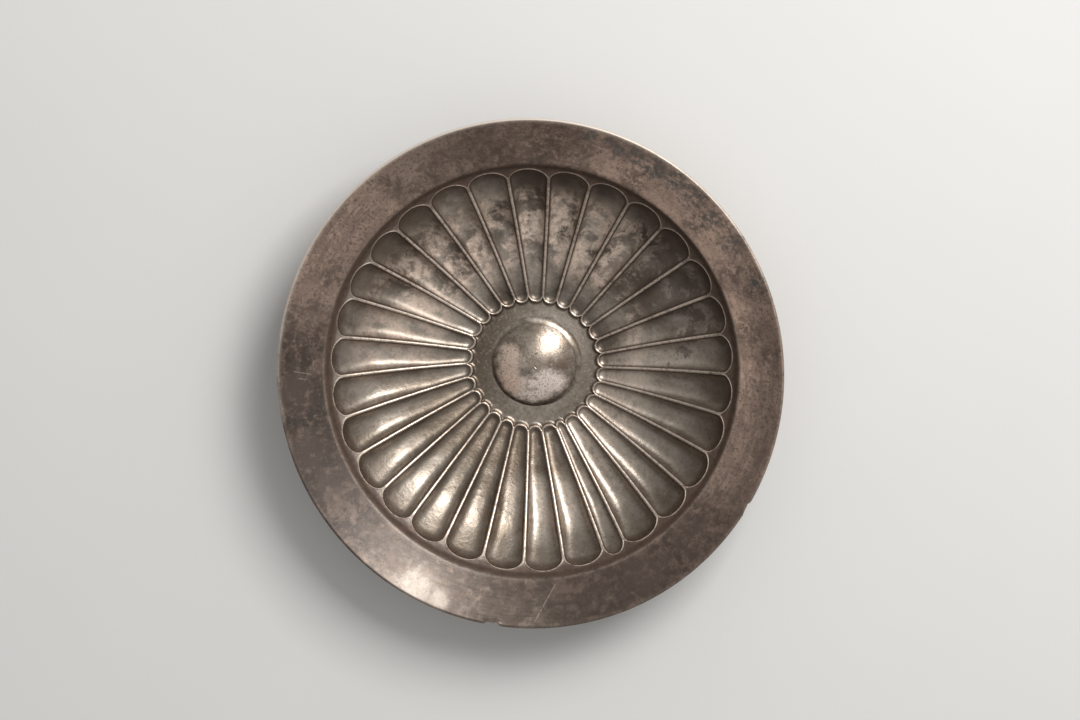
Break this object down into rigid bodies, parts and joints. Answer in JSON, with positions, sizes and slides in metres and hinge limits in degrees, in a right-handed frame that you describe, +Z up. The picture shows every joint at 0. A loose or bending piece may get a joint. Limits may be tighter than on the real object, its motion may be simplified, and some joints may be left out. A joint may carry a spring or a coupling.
{
  "type": "phiale",
  "caption": "Shallow round silver libation bowl with a flaring lip, radiating sunk tongues and a hollow central boss that the fingertips hold from below.",
  "frame": {"origin": "middle of the flat face that the bowl stands on, under its central disc", "axes": "+Z up out of the bowl's mouth, +Y towards the upper edge of the picture, +X towards its right edge"},
  "size_m": [0.22, 0.22, 0.04],
  "materials": {
    "aged_silver": "hammered silver, unevenly tarnished grey brown",
    "boss_silver": "hammered silver with a matt pinkish brown film",
    "hard_solder": "tarnished silver solder, grey as the disc and dirty on one side"
  },
  "bodies": {
    "root": {"bowl": "aged_silver", "omphalos": "boss_silver", "solder_seam": "hard_solder"}
  },
  "joints": []
}
